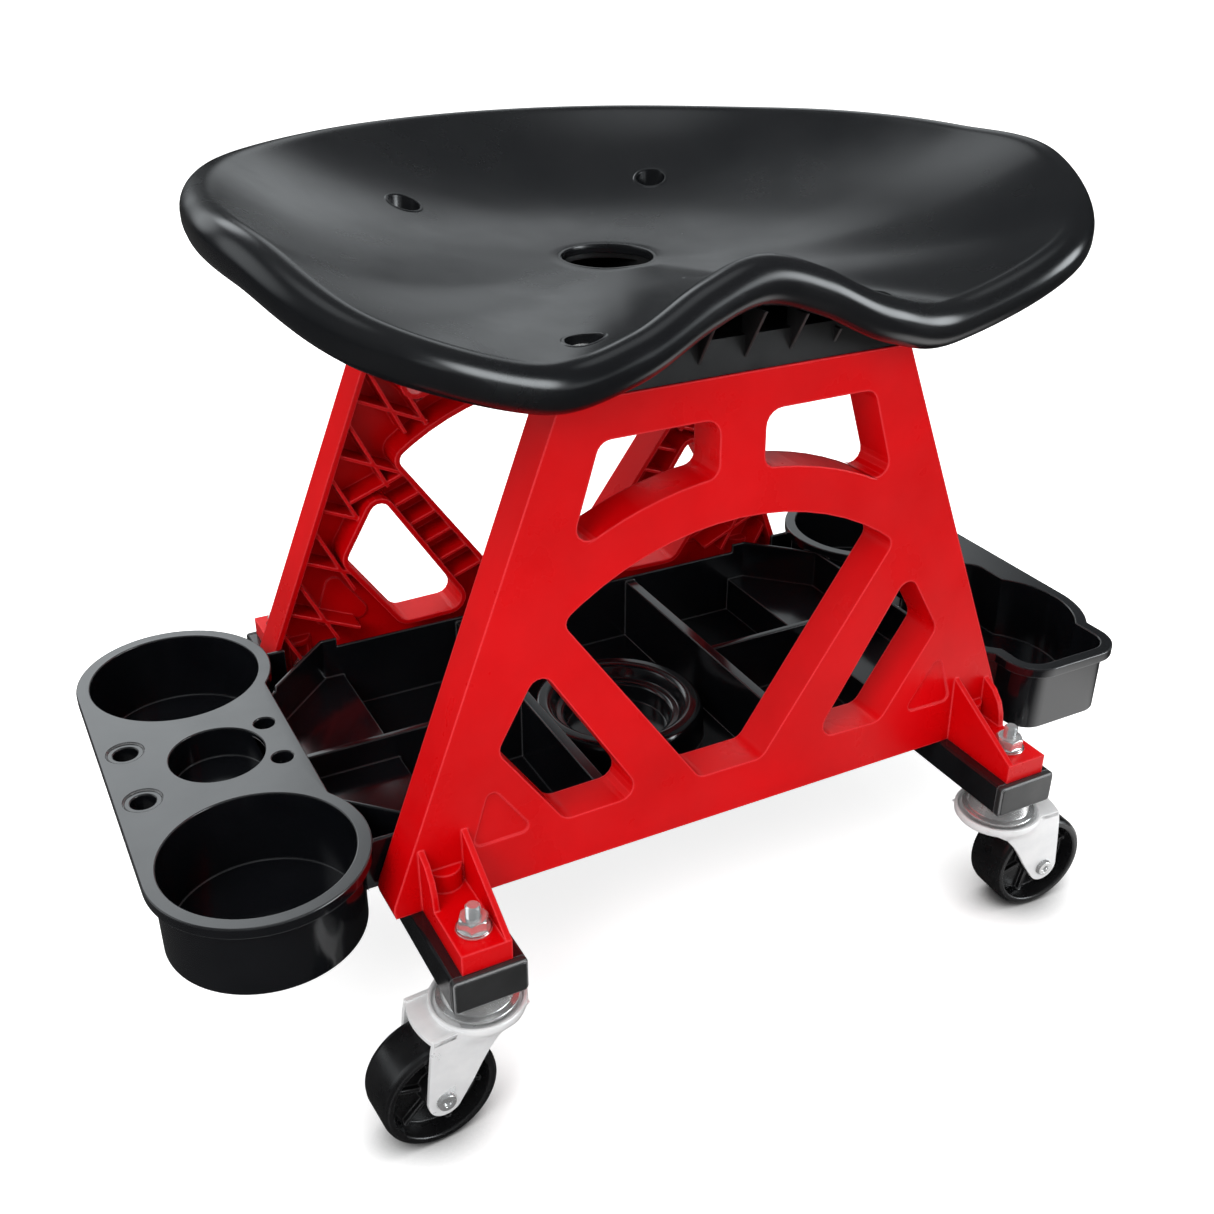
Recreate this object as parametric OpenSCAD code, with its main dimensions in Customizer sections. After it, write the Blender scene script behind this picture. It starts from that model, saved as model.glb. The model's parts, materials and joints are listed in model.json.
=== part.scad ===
// Rolling tractor-seat stool: two A-frame side panels on cross tubes, four swivel casters,
// a tool tray between the panels, a cup tray on the left and a parts bin on the right.
// Millimetres. X runs left to right, -Y is the front, the floor is z = 0.

/* [Frame tubes] */
// Centre plane to the middle of each cross tube
tube_x = 171; // [150:1:190]
// Tube width
tube_w = 40; // [30:1:50]
// Tube height
tube_h = 20; // [15:1:30]
// Tube wall
tube_wall = 1.6; // [1:0.1:3]
// Underside of the tubes above the floor
tube_z = 86; // [80:1:100]
// Centre to the outer face of an end cap
tube_end = 191.4; // [180:0.2:210]

/* [Side panels] */
// Half-width of a panel at its foot
panel_foot = 201.3; // [190:0.1:215]
// Half-width of a panel at its top
panel_top = 100; // [80:1:120]
// Height of the panel tops above the floor
panel_z = 362; // [340:1:380]
// Centre to the outer face of a panel at its foot
panel_y = 134.7; // [125:0.1:150]
// Inward lean of the panels, degrees
panel_lean = 1.77; // [0:0.01:4]
// Depth of the box section
panel_depth = 25; // [18:0.5:35]
// Thickness of skins, flanges and window walls
panel_skin = 3.4; // [2.5:0.1:5]
// Thickness of the inner ribs
rib_t = 2.2; // [1.5:0.1:3]
// Height of the foot block on the tube
foot_h = 12; // [8:1:20]

/* [Seat] */
// Height of the pan floor
pan_z = 385; // [370:1:400]
// Radius of the rolled edge
roll_r = 11; // [8:0.5:15]
// Moulded wall
seat_t = 4.5; // [3:0.5:6]
// Steepness of the pan wall
pan_power = 2.6; // [2:0.1:5]
// Radius of the centre hole
seat_hole_r = 25.5; // [20:0.5:30]
// Radius of the bolt recesses
seat_bolt_hole_r = 9; // [7:0.5:12]
// Bolt spacing from the centre, across
seat_bolt_x = 82; // [70:1:95]
// Bolt spacing from the centre, front to back
seat_bolt_y = 116; // [105:1:122]

/* [Trays] */
// Rim height of the side trays
side_z = 141.5; // [130:0.5:150]
// Floor height of the cups and the bin
side_floor = 95; // [85:1:110]
// Inner radius of the large cups
cup_r = 49.3; // [40:0.1:55]
// Inner radius of the small cup
small_cup_r = 26.2; // [20:0.1:32]
// Wall of the trays
tray_t = 2.4; // [1.8:0.1:3.5]
// Half-length of the tool tray
main_x = 201; // [190:1:210]
// Half-depth of the tool tray
main_y = 106; // [95:0.5:108.5]
// Rim height of the tool tray at its ends
main_z = 136; // [125:1:145]
// Underside of the sunk middle of the tool tray
well_z = 81; // [70:1:90]

/* [Casters] */
// Wheel radius
wheel_r = 31.7; // [25:0.1:38]
// Wheel width
wheel_w = 28; // [20:1:32]
// Swivel axis to wheel axis
trail = 28.3; // [20:0.1:35]
// Radius of the fork's crown
crown_r = 25.5; // [20:0.5:30]
// Outer half-width of the fork
fork_y = 17.6; // [15:0.1:20]
// Swivel of the front left caster, degrees
turn_fl = -175.8; // [-180:0.1:180]
// Swivel of the front right caster, degrees
turn_fr = -3.6; // [-180:0.1:180]
// Swivel of the rear left caster, degrees
turn_rl = 176; // [-180:0.1:180]
// Swivel of the rear right caster, degrees
turn_rr = 3; // [-180:0.1:180]

/* [Hidden] */
$fn = 64;

red = [0.78, 0.02, 0.05];
black = [0.05, 0.05, 0.06];
zinc = [0.75, 0.76, 0.78];

tube_top = tube_z + tube_h;
cap_t = 4.4;
stud_y = 171;
stud_r = 4;
inner_bolt_y = 121;
peg_x = 185;
peg_y = 97;
foot_w = 26.8;
base_z = 380.5;
boss_z = 376;

// ---------- plane and outline helpers ----------

// unit vector from a to b
function unit(a, b) = (b - a) / norm(b - a);

// corner i of outline p replaced by an arc of the radius held in its third value
function corner(p, i) =
    let (
        n = len(p),
        v = [p[i][0], p[i][1]],
        a = [p[(i + n - 1) % n][0], p[(i + n - 1) % n][1]],
        b = [p[(i + 1) % n][0], p[(i + 1) % n][1]],
        u = unit(v, a),
        w = unit(v, b),
        half = acos(u * w) / 2,
        r = p[i][2],
        c = v + unit([0, 0], u + w) * r / sin(half),
        s = v + u * r / tan(half) - c,
        e = v + w * r / tan(half) - c,
        a0 = atan2(s[1], s[0]),
        sweep = (atan2(e[1], e[0]) - a0 + 540) % 360 - 180
    )
    r == 0 ? [v] : [for (k = [0 : 5]) c + r * [cos(a0 + sweep * k / 5), sin(a0 + sweep * k / 5)]];

// outline with every corner rounded
function rounded(p) = [for (i = [0 : len(p) - 1]) each corner(p, i)];

// anticlockwise outline moved outward by d, its corner radii growing with it
function grown(p, d) =
    let (n = len(p))
    [for (i = [0 : n - 1])
        let (
            v = [p[i][0], p[i][1]],
            u = unit([p[(i + n - 1) % n][0], p[(i + n - 1) % n][1]], v),
            w = unit(v, [p[(i + 1) % n][0], p[(i + 1) % n][1]]),
            nu = [u[1], -u[0]],
            nw = [w[1], -w[0]],
            m = v + (nu + nw) * d / (1 + nu * nw)
        )
        [m[0], m[1], p[i][2] == 0 ? 0 : max(0.5, p[i][2] + d)]
    ];

// outline mirrored left to right, still anticlockwise
function flipped(p) = [for (i = [len(p) - 1 : -1 : 0]) [-p[i][0], p[i][1], p[i][2]]];

// rectangle with round corners, centred
module round_rect(w, h, r) {
    square([w - 2 * r, h], center = true);
    square([w, h - 2 * r], center = true);
    for (x = [-1, 1], y = [-1, 1])
        translate([x * (w / 2 - r), y * (h / 2 - r)])
            circle(r);
}

// hexagonal prism, af across the flats
module hexagon(af, h) {
    cylinder(r = af / sqrt(3), h = h, $fn = 6);
}

// the same thing at all four corners
module corners(x, y) {
    for (sx = [-1, 1], sy = [-1, 1])
        translate([sx * x, sy * y, 0])
            children();
}

// ---------- seat ----------

// rim of the seat: angle from the front, reach from the centre hole, height of the roll's middle
seat_cy = 18;
rim = [
    [0, 153.2, 410], [12, 158.8, 401], [24, 173.4, 383.5], [36, 193.4, 376.4], [50, 243, 404.8],
    [66, 240.8, 431], [84, 221.7, 432.5], [105, 207, 431], [130, 198.5, 426.8],
    [155, 191.5, 425.6], [180, 187.1, 425.6]
];
rim_n = len(rim) - 1;

// slope of column k of the rim table at station i, level at both ends
function rim_slope(i, k) =
    i == 0 || i == rim_n ? 0 : (rim[i + 1][k] - rim[i - 1][k]) / (rim[i + 1][0] - rim[i - 1][0]);

// station just before angle a
function rim_at(a) = max([for (i = [0 : rim_n - 1]) rim[i][0] <= a ? i : 0]);

// column k of the rim at angle a, a cubic between stations
function rim_value(a, k) =
    let (
        i = rim_at(a),
        h = rim[i + 1][0] - rim[i][0],
        t = (a - rim[i][0]) / h,
        m0 = rim_slope(i, k) * h,
        m1 = rim_slope(i + 1, k) * h
    )
    (2 * t * t * t - 3 * t * t + 1) * rim[i][k] + (t * t * t - 2 * t * t + t) * m0
    + (3 * t * t - 2 * t * t * t) * rim[i + 1][k] + (t * t * t - t * t) * m1;

// middle of the roll at angle a
function rim_point(a) =
    let (b = abs(a), r = rim_value(b, 1))
    [r * sin(a), seat_cy - r * cos(a), rim_value(b, 2)];

// outward direction across the roll at angle a, level
function rim_out(a) =
    let (d = rim_point(a > 179 ? a - 359.5 : a + 0.5) - rim_point(a - 0.5))
    unit([0, 0, 0], [d[1], -d[0], 0]);

// point on the roll at angle a, b degrees up from its outer side, at radius r
function roll_point(a, b, r) =
    rim_point(a) + rim_out(a) * r * cos(b) + [0, 0, r * sin(b) - (b < 0 ? 2 : 0)];

// tilt at which the pan wall meets the roll
function pan_tilt(a) =
    let (p = rim_point(a))
    atan(pan_power * (p[2] + roll_r - pan_z) / norm([p[0], p[1] - seat_cy]));

// point on the pan at fraction s of the way out, lowered by drop
function pan_point(a, s, drop) =
    let (q = roll_point(a, 90 + pan_tilt(a), roll_r))
    [q[0] * s, seat_cy + (q[1] - seat_cy) * s, pan_z + (q[2] - pan_z) * pow(s, pan_power) - drop];

// closed section of the seat shell at angle a
function seat_section(a) =
    let (
        pan = [0.08, 0.3, 0.5, 0.65, 0.77, 0.87, 0.94],
        top = 90 + pan_tilt(a),
        roll = [top, 90 + pan_tilt(a) / 2, 68, 42, 16, -14, -42, -68]
    )
    concat(
        [for (s = pan) pan_point(a, s, 0)],
        [for (b = roll) roll_point(a, b, roll_r)],
        [for (i = [len(roll) - 1 : -1 : 0]) roll_point(a, roll[i], roll_r - seat_t)],
        [for (i = [len(pan) - 1 : -1 : 0]) pan_point(a, pan[i], seat_t)]
    );

// closed section of the space below the pan at angle a, down to the bolt bosses' feet
function below_section(a) =
    let (pan = [0.2, 0.5, 0.65, 0.77, 0.87, 0.94, 1])
    concat(
        [for (s = pan) pan_point(a, s, 1)],
        [for (s = [1, 0.2]) let (q = pan_point(a, s, 0)) [q[0], q[1], boss_z]]
    );

// solid swept round the seat through a closed list of sections
module ring_solid(sections) {
    n = len(sections);
    m = len(sections[0]);
    polyhedron(
        points = [for (s = sections) each s],
        faces = [
            for (i = [0 : n - 1], j = [0 : m - 1])
                let (
                    i2 = (i + 1) % n,
                    j2 = (j + 1) % m
                )
                each [
                    [i * m + j, i2 * m + j, i2 * m + j2],
                    [i * m + j, i2 * m + j2, i * m + j2]
                ]
        ]
    );
}

module seat() {
    angles = [for (a = [-175 : 5 : 180]) a];
    color(black)
        difference() {
            union() {
                ring_solid([for (a = angles) seat_section(a)]);
                intersection() {
                    ring_solid([for (a = angles) below_section(a)]);
                    corners(seat_bolt_x, seat_bolt_y)
                        translate([0, 0, boss_z])
                            cylinder(r = seat_bolt_hole_r + 3, h = 60);
                }
            }
            translate([0, seat_cy, pan_z - 20])
                cylinder(r = seat_hole_r, h = 40);
            corners(seat_bolt_x, seat_bolt_y) {
                translate([0, 0, boss_z + 3])
                    cylinder(r = seat_bolt_hole_r, h = 60);
                translate([0, 0, boss_z - 1])
                    cylinder(r = stud_r + 0.4, h = 10);
            }
        }
}

// upright rib leaning out from the spacer's wall at y, up to a height
module slanted_rib(y, top) {
    foot = 369.5;
    rotate([90, 0, 90])
        linear_extrude(2)
            polygon([[y - 4, foot - 5], [y, foot], [y + (top - foot) / 1.68, top], [y - 4, top]]);
}

// moulded spacer between the panel tops and the pan, ribbed out under the seat's nose
module seat_base() {
    wall_y = 125.5;
    front_rib_tops = [395.5, 390.5, 377.5];
    color(black)
        difference() {
            union() {
                difference() {
                    translate([-98, -wall_y, panel_z])
                        cube([196, 2 * wall_y, base_z - panel_z]);
                    translate([-95, -wall_y + 3, panel_z - 1])
                        cube([190, 2 * wall_y - 6, base_z - panel_z - 2]);
                }
                for (y = [-75, -25, 25, 75])
                    translate([-96, y - 1.25, panel_z])
                        cube([192, 2.5, base_z - panel_z - 1]);
                for (x = [-52, -26, 26, 52])
                    translate([x - 1.25, -wall_y + 1, panel_z])
                        cube([2.5, 2 * wall_y - 2, base_z - panel_z - 1]);
                for (i = [-2 : 2], s = [-1, 1])
                    scale([1, s, 1])
                        translate([i * 26 - 1, 0, 0])
                            slanted_rib(wall_y, s < 0 ? front_rib_tops[abs(i)] : 384);
                intersection() {
                    corners(seat_bolt_x, seat_bolt_y)
                        translate([0, 0, panel_z])
                            cylinder(r = 15, h = boss_z - panel_z);
                    translate([-98, -wall_y, panel_z])
                        cube([196, 2 * wall_y, 30]);
                }
            }
            corners(seat_bolt_x, seat_bolt_y) {
                translate([0, 0, panel_z - 1])
                    cylinder(r = stud_r + 0.4, h = 40);
                translate([0, 0, boss_z])
                    cylinder(r = seat_bolt_hole_r + 3.5, h = 40);
            }
            translate([0, seat_cy, panel_z - 1])
                cylinder(r = seat_hole_r + 1, h = 40);
        }
}

// button-head bolts and nuts holding the seat and its base to the panel tops
module seat_bolts() {
    seat_h = boss_z + 3;
    color(zinc)
        corners(seat_bolt_x, seat_bolt_y) {
            translate([0, 0, seat_h])
                difference() {
                    cylinder(r1 = 7, r2 = 5.5, h = 4.4);
                    translate([0, 0, 1.8])
                        hexagon(5, 4);
                }
            translate([0, 0, panel_z - 16])
                cylinder(r = stud_r, h = seat_h - panel_z + 16.5);
            translate([0, 0, panel_z - 11])
                difference() {
                    hexagon(13, 6.5);
                    translate([0, 0, -1])
                        cylinder(r = stud_r, h = 10);
                }
        }
}

// ---------- side panels, drawn upright at the foot line and then leaned in ----------

arch_r = 165;
arch_bar = 25;
arch_z = 121 - tube_top;

// points of an arch about the panel's centre line, right to left, from x0 to x1
function arch(r, x0, x1, n) = [
    for (i = [1 : n - 1])
        let (
            a0 = acos(x0 / r),
            a1 = acos(x1 / r),
            a = a0 + (a1 - a0) * i / n
        )
        [r * cos(a), arch_z + r * sin(a), 0]
];

// height of an arch of radius r at x
function arch_height(r, x) = arch_z + sqrt(r * r - x * x);

panel_outline = [
    [-panel_foot, 0, 10], [panel_foot, 0, 10],
    [panel_top, panel_z - tube_top, 6], [-panel_top, panel_z - tube_top, 6]
];
middle_window = concat(
    [[-20.4, 29, 8], [20.4, 29, 8], [101.5, arch_height(arch_r, 101.5), 6]],
    arch(arch_r, 101.5, -101.5, 16),
    [[-101.5, arch_height(arch_r, 101.5), 6]]
);
low_window = [[55.5, 30, 8], [102.7, 29, 9], [138.9, 81.8, 8], [114.5, 124, 7]];
high_window = concat(
    [[97.5, arch_height(arch_r + arch_bar, 97.5), 7], [79.5, 235, 8], [13.3, 235, 9],
     [13.3, arch_height(arch_r + arch_bar, 13.3), 7]],
    [for (i = [6 : -1 : 0]) arch(arch_r + arch_bar, 97.5, 13.3, 8)[i]]
);
corner_recess = [[120, 29, 4], [155.5, 28.5, 4], [144, 64, 4]];
windows = [middle_window, low_window, flipped(low_window), high_window, flipped(high_window)];
recesses = [corner_recess, flipped(corner_recess)];

// flat shape stood upright behind the outer face, from depth y to y + d
module slab(y, d) {
    translate([0, y + d, 0])
        rotate([90, 0, 0])
            linear_extrude(d)
                children();
}

// hollow of the box section
module pocket_shape() {
    difference() {
        polygon(rounded(grown(panel_outline, -panel_skin)));
        for (w = windows)
            polygon(rounded(grown(w, panel_skin)));
    }
}

// lattice of ribs in the legs and across the bars, right half
module rib_lines() {
    for (z = [44, 78, 112, 146, 180, 214])
        translate([181 - z * 0.395, z])
            rotate(25)
                square([70, rib_t], center = true);
    for (z = [18, 52, 86, 120, 154, 188, 222])
        translate([181 - z * 0.395, z])
            rotate(64)
                square([62, rib_t], center = true);
    for (d = [30, 48, 66, 84, 102, 120])
        translate([40 + d * 0.57, 30 + d * 0.82])
            rotate(-20)
                square([50, rib_t], center = true);
    for (x = [14, 40, 66])
        translate([x, 238])
            square([rib_t, 30], center = true);
    for (a = [62, 74, 86])
        translate([178 * cos(a), arch_z + 178 * sin(a)])
            rotate(a)
                square([30, rib_t], center = true);
}

// one panel, outer face towards -Y
module panel() {
    lift = 3;
    color(red)
        difference() {
            union() {
                intersection() {
                    translate([0, -panel_y, tube_top - lift])
                        rotate([-panel_lean, 0, 0])
                            translate([0, 0, lift])
                                panel_box();
                    translate([-300, -300, tube_top])
                        cube([600, 400, panel_z - tube_top]);
                }
                for (s = [-1, 1])
                    translate([s * tube_x, 0, tube_top])
                        foot(s);
            }
            for (s = [-1, 1]) {
                translate([s * tube_x, -stud_y, tube_top - 1])
                    cylinder(r = stud_r + 0.3, h = 60);
                translate([s * tube_x, -inner_bolt_y, tube_top - 1])
                    cylinder(r = 3.4, h = 9);
                translate([s * tube_x, -inner_bolt_y, tube_top + panel_skin])
                    cylinder(r = 7, h = 16);
                translate([s * seat_bolt_x, -seat_bolt_y, panel_z - 9])
                    cylinder(r = stud_r + 0.4, h = 12);
            }
        }
}

// box section of a panel, standing on z = 0
module panel_box() {
    difference() {
        slab(0, panel_depth)
            difference() {
                polygon(rounded(concat(
                    [[-panel_foot - 3, -6, 10], [panel_foot + 3, -6, 10]],
                    [[panel_top - 1.2, panel_z - tube_top + 3, 3], [1.2 - panel_top, panel_z - tube_top + 3, 3]]
                )));
                for (w = windows)
                    polygon(rounded(w));
            }
        slab(panel_skin, panel_depth)
            pocket_shape();
        slab(-1, 2.2)
            for (r = recesses)
                polygon(rounded(r));
    }
    intersection() {
        slab(panel_skin - 0.5, panel_depth - panel_skin - 3)
            pocket_shape();
        slab(0, panel_depth)
            for (m = [0, 1])
                mirror([m, 0])
                    rib_lines();
    }
    for (r = recesses)
        slab(1.2, panel_skin)
            polygon(rounded(grown(r, 2)));
}

// foot block, its two gussets and the half-round boss, centred on a tube, toward -Y
module foot(s) {
    tip = 187.3;
    gusset = 3.2;
    root = panel_y - 4;
    difference() {
        translate([-foot_w / 2, -tip, 0])
            cube([foot_w, tip - root, foot_h]);
        translate([-foot_w / 2 + 3, -panel_y + 2, -1])
            cube([foot_w - 6, 20, foot_h]);
    }
    translate([0, -panel_y + 3, 0])
        cylinder(r = 9.5, h = 23);
    translate([-s * (foot_w / 2 - gusset / 2), 0, 0])
        gusset_plate(gusset, [[-root, foot_h - 1], [-tip, foot_h - 1], [-tip, foot_h], [-root - 2, 43], [-root, 43]]);
    translate([s * (foot_w / 2 - gusset / 2), 0, 0])
        gusset_plate(gusset, [
            [-root, foot_h - 1], [-152, foot_h - 1], [-150.5, 20], [-147.5, 27], [-142, 33], [-root - 2, 37.5],
            [-root, 37.5]
        ]);
}

// upright plate of thickness t across X from an outline in Y and Z
module gusset_plate(t, outline) {
    translate([-t / 2, 0, 0])
        rotate([90, 0, 90])
            linear_extrude(t)
                polygon(outline);
}

module panel_front() {
    panel();
}

module panel_rear() {
    mirror([0, 1, 0])
        panel();
}

// ---------- cross tubes ----------

module tube(s) {
    length = 2 * (tube_end - cap_t);
    color(black)
        translate([s * tube_x, 0, 0])
            difference() {
                translate([0, length / 2, tube_z + tube_h / 2])
                    rotate([90, 0, 0])
                        linear_extrude(length)
                            difference() {
                                round_rect(tube_w, tube_h, 2);
                                round_rect(tube_w - 2 * tube_wall, tube_h - 2 * tube_wall, 1);
                            }
                for (y = [-1, 1]) {
                    translate([0, y * stud_y, tube_z - 1])
                        cylinder(r = stud_r + 0.3, h = tube_h + 2);
                    translate([0, y * inner_bolt_y, tube_z - 1])
                        cylinder(r = 3.4, h = tube_h + 2);
                    translate([s * (peg_x - tube_x), y * peg_y, tube_top - tube_wall - 1])
                        cylinder(r = 3.6, h = tube_wall + 2);
                }
            }
}

module tube_left() {
    tube(-1);
}

module tube_right() {
    tube(1);
}

module tube_caps() {
    color(black)
        for (x = [-1, 1], y = [-1, 1])
            translate([x * tube_x, 0, tube_z + tube_h / 2])
                mirror([0, (y + 1) / 2, 0]) {
                    translate([0, cap_t - tube_end, 0])
                        rotate([90, 0, 0]) {
                            linear_extrude(cap_t - 1)
                                round_rect(tube_w, tube_h, 2);
                            translate([0, 0, cap_t - 1.01])
                                linear_extrude(1.01)
                                    round_rect(tube_w - 2, tube_h - 2, 2);
                        }
                    translate([0, cap_t - tube_end + 9, 0])
                        rotate([90, 0, 0])
                            linear_extrude(9.01)
                                difference() {
                                    round_rect(tube_w - 2 * tube_wall - 0.4, tube_h - 2 * tube_wall - 0.4, 1);
                                    round_rect(tube_w - 2 * tube_wall - 5, tube_h - 2 * tube_wall - 5, 1);
                                }
                }
}

// bolts through the tubes into the hollow feet of the panels
module panel_bolts() {
    color(zinc)
        corners(tube_x, inner_bolt_y) {
            translate([0, 0, tube_z - 4])
                hexagon(10, 4);
            translate([0, 0, tube_z - 0.5])
                cylinder(r = 3, h = 32.5);
            translate([0, 0, tube_top + panel_skin])
                difference() {
                    hexagon(10, 5);
                    translate([0, 0, -1])
                        cylinder(r = 3, h = 8);
                }
        }
}

// flange nuts on the caster studs, the hexagon chamfered at its top
module caster_nuts() {
    flange_r = 9.3;
    nut_h = 8.2;
    color(zinc)
        corners(tube_x, stud_y)
            translate([0, 0, tube_top + foot_h])
                difference() {
                    union() {
                        cylinder(r = flange_r, h = 1.4);
                        translate([0, 0, 1.4])
                            cylinder(r1 = flange_r - 0.2, r2 = flange_r - 1.4, h = 0.6);
                        intersection() {
                            hexagon(14, nut_h);
                            union() {
                                cylinder(r = 9, h = nut_h - 1.2);
                                translate([0, 0, nut_h - 1.2])
                                    cylinder(r1 = 8.3, r2 = 6.6, h = 1.2);
                            }
                        }
                    }
                    translate([0, 0, -1])
                        cylinder(r = stud_r, h = 12);
                }
}

// ---------- trays ----------

end_reach = 7;

// outline of the tool tray, inset by d, its left end reaching under the cup tray
module main_shape(d) {
    x = main_x - d;
    left = x + end_reach;
    y = main_y - d;
    c = 268 - d * sqrt(2);
    polygon([
        [x, x - c], [x, c - x], [c - y, y], [y - c, y],
        [-left, c - left], [-left, left - c], [y - c, -y], [c - y, -y]
    ]);
}

// sunk middle of the tool tray, inset by d
module well_shape(d) {
    x = tube_x - tube_w / 2 - 0.3 - d;
    y = main_y - d;
    square([2 * x, 2 * y], center = true);
}

module main_tray() {
    t = tray_t;
    side_z1 = 130;
    end_z = side_z - lip - 1.5;
    div_x = 65;
    div_z = 127;
    cross_z = 124.5;
    color(black)
        difference() {
            union() {
                difference() {
                    union() {
                        translate([0, 0, tube_top])
                            linear_extrude(main_z - tube_top)
                                main_shape(0);
                        translate([0, 0, well_z])
                            linear_extrude(tube_top - well_z + 1)
                                well_shape(0);
                    }
                    translate([0, 0, tube_top + t])
                        linear_extrude(60)
                            main_shape(t);
                    translate([0, 0, well_z + t])
                        linear_extrude(60)
                            well_shape(t);
                    translate([-tube_x + tube_w / 2, -150, side_z1])
                        cube([2 * tube_x - tube_w, 300, 20]);
                    translate([-main_x - 12, -150, end_z])
                        cube([10.4, 300, 20]);
                }
                for (s = [-1, 1]) {
                    translate([s * div_x - 3.5, -main_y + 1, well_z])
                        cube([7, 2 * main_y - 2, div_z - well_z]);
                    scale([s, 1, 1]) {
                        translate([div_x, -2.2, well_z])
                            cube([tube_x - tube_w / 2 - 1 - div_x, 4.4, cross_z - well_z]);
                        translate([div_x, -2.2, tube_top])
                            cube([main_x - 1 - div_x, 4.4, cross_z - tube_top]);
                    }
                }
                translate([-main_x - end_reach + 1, -2.2, tube_top])
                    cube([end_reach + 2, 4.4, cross_z - tube_top]);
                translate([0, 0, well_z])
                    rotate_extrude()
                        polygon([
                            [26, 0], [56, 0], [55, 20], [53, 23], [50, 24], [47, 24], [43, 22], [41, 18],
                            [40, 15], [36, 14.5], [34, 13], [33, t], [26, t]
                        ]);
                translate([0, 0, well_z])
                    cylinder(r = 13, h = 8);
            }
            for (s = [-1, 1])
                translate([s * div_x - 1.3, -main_y + 3, well_z - 1])
                    cube([2.6, 2 * main_y - 6, div_z - well_z - 1.4]);
            translate([0, 0, well_z + t])
                cylinder(r = 10, h = 20);
        }
}

// ear in a cut corner of the tool tray, lying on a cross tube with a drop-in peg and a stiffening rib, at +X
module hook_ear(reach) {
    gap = 2.5;
    x = main_x + gap;
    y = 268 - main_x;
    translate([0, 0, tube_top])
        linear_extrude(4)
            polygon([[reach, y], [x, y], [x - main_y + y, main_y], [reach, main_y]]);
    translate([peg_x, main_y - 2.6, tube_top])
        cube([reach - peg_x, 2.6, main_z - tube_top]);
    translate([peg_x, peg_y, tube_top - 9])
        cylinder(r = 3.5, h = 10);
}

cup_x = 255;
cup_y = 94.4;
plate_x0 = 208;
plate_x1 = 312;
rim_w = 7.7;
lip = 6.5;

// outline of the cup tray, inset by d
module cup_tray_shape(d) {
    for (s = [-1, 1])
        translate([-cup_x, s * cup_y])
            circle(cup_r + rim_w - d);
    translate([-plate_x1 + d, -cup_y])
        square([plate_x1 - plate_x0 - 2 * d, 2 * cup_y]);
}

// the tool holes of the cup tray: x, y and radius
tool_holes = [[-297.3, -24.6, 6.7], [-297.3, 24.6, 6.7], [-220.7, -19, 5.9], [-220.7, 19, 5.9]];
sleeve = 14;

module tray_left() {
    small_x = 252.2;
    small_depth = 19;
    t = tray_t;
    color(black) {
        difference() {
            union() {
                translate([0, 0, side_z - 3])
                    linear_extrude(3)
                        cup_tray_shape(0);
                translate([0, 0, side_z - lip])
                    linear_extrude(lip - 1)
                        difference() {
                            cup_tray_shape(0);
                            cup_tray_shape(2.4);
                        }
                for (s = [-1, 1])
                    translate([-cup_x, s * cup_y, side_floor])
                        cylinder(r = cup_r + t, h = side_z - side_floor - 1);
                translate([-small_x, 0, side_z - small_depth - t])
                    cylinder(r = small_cup_r + t, h = small_depth);
                for (h = tool_holes)
                    translate([h[0], h[1], side_z - sleeve])
                        cylinder(r = h[2] + 1.8, h = sleeve - 1);
                mirror([1, 0, 0])
                    for (s = [-1, 1])
                        scale([1, s, 1])
                            hook_ear(cup_x - 35);
            }
            for (s = [-1, 1])
                translate([-cup_x, s * cup_y, side_floor + t])
                    cylinder(r = cup_r, h = 60);
            for (h = tool_holes)
                translate([h[0], h[1], side_z - sleeve - 1])
                    cylinder(r = h[2], h = sleeve + 5);
            for (i = [0, 1])
                translate([tool_holes[i][0], tool_holes[i][1], side_z - 1])
                    cylinder(r = 10, h = 5);
            translate([-small_x, 0, side_z - small_depth])
                cylinder(r = small_cup_r, h = 40);
        }
    }
}

bin_x = 248;
bin_y = -71;
bin_w = 66;
bin_front = -136;
bin_back = -4;
back_cup_x = 251;
back_cup_y = 82;

// inside of the parts bin, grown by d: a round and a long box, flat towards the tool tray
module bin_shape(d) {
    translate([bin_x + 2, (bin_front + bin_back) / 2])
        round_rect(bin_w + 2 * d, bin_back - bin_front + 2 * d, 14 + d);
    intersection() {
        translate([bin_x, bin_y])
            circle(cup_r + d);
        translate([main_x + 9.2 - d, bin_y - 80])
            square(160);
    }
}

// outline of the bin tray, inset by d
module bin_tray_shape(d) {
    right = bin_x + cup_r + rim_w - d;
    left = bin_x + 2 - bin_w / 2 - rim_w + d;
    bin_shape(rim_w - d);
    translate([back_cup_x, back_cup_y])
        circle(cup_r + rim_w - d);
    translate([left, bin_y])
        square([right - left, back_cup_y - bin_y]);
}

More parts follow.
